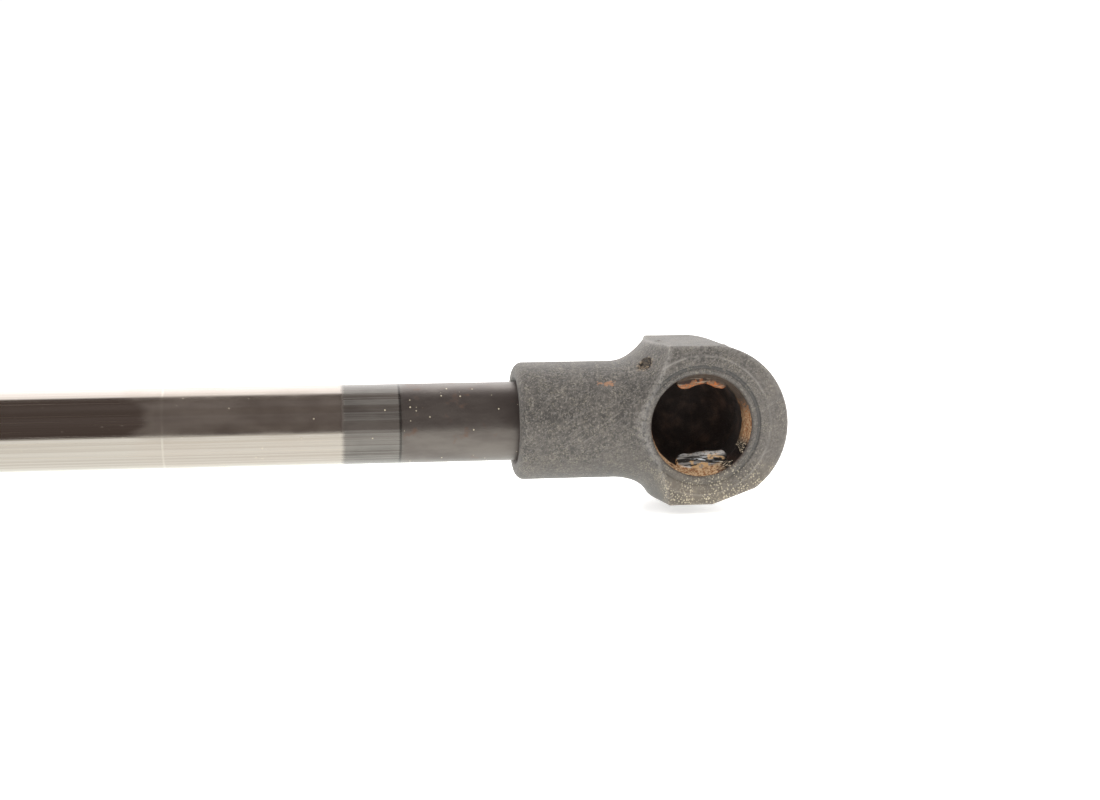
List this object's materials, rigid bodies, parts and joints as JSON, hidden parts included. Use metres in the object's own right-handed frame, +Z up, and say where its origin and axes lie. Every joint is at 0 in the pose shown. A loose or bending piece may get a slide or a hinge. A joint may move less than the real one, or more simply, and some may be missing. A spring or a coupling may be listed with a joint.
{
  "type": "gas strut stay",
  "caption": "Sealed gas strut with a sliding, turning rod and a push-fit ball socket with a spring clip at each end, for holding up a window or shutter.",
  "frame": {"origin": "on the strut's axis, midway between the two ball centres with the rod fully out", "axes": "+X along the axis towards the rod end, -Y out of both socket mouths, +Z up across the strut"},
  "size_m": [0.4126, 0.0178, 0.0178],
  "materials": {
    "tube_paint": "satin black paint over drawn steel",
    "nitrided_steel": "polished black nitrided steel, glossy, with grime at the end that is never wiped",
    "turned_steel": "plain turned steel",
    "clip_steel": "spring steel with brown and orange rust",
    "valve_steel": "bright spring steel",
    "insert_brass": "turned brass",
    "piston_zinc": "cast light alloy, machined",
    "seal_rubber": "black nitrile rubber",
    "guide_acetal": "off-white bearing plastic",
    "socket_nylon": "dark grey glass-filled nylon, dusty and scuffed"
  },
  "bodies": {
    "cylinder": {"pressure_tube": "tube_paint", "base_plug": "turned_steel", "base_plug_o_ring": "seal_rubber", "guide_retaining_washer": "turned_steel", "rod_guide_bush": "guide_acetal", "dust_wiper": "seal_rubber", "rod_lip_seal": "seal_rubber", "seal_support_washer": "turned_steel", "cylinder_socket_housing": "socket_nylon", "cylinder_socket_thread_insert": "insert_brass", "cylinder_socket_retaining_clip": "clip_steel"},
    "sliding_ring": {"piston_ring": "seal_rubber"},
    "rod": {"piston_rod": "nitrided_steel", "piston_stop_washer": "turned_steel", "piston_body": "piston_zinc", "piston_valve_disc": "valve_steel", "piston_base_washer": "turned_steel", "rod_socket_housing": "socket_nylon", "rod_socket_thread_insert": "insert_brass", "rod_socket_retaining_clip": "clip_steel"}
  },
  "joints": [
    {"name": "rod_slide", "type": "slide", "parent": "cylinder", "child": "sliding_ring", "axis": [1, 0, 0], "range_m": [-0.15, 0], "stiffness_N_per_m": 240, "springref_m": 0.5},
    {"name": "rod_spin", "type": "hinge", "parent": "sliding_ring", "child": "rod", "pos_m": [0, 0, 0], "axis": [1, 0, 0], "continuous": true}
  ]
}
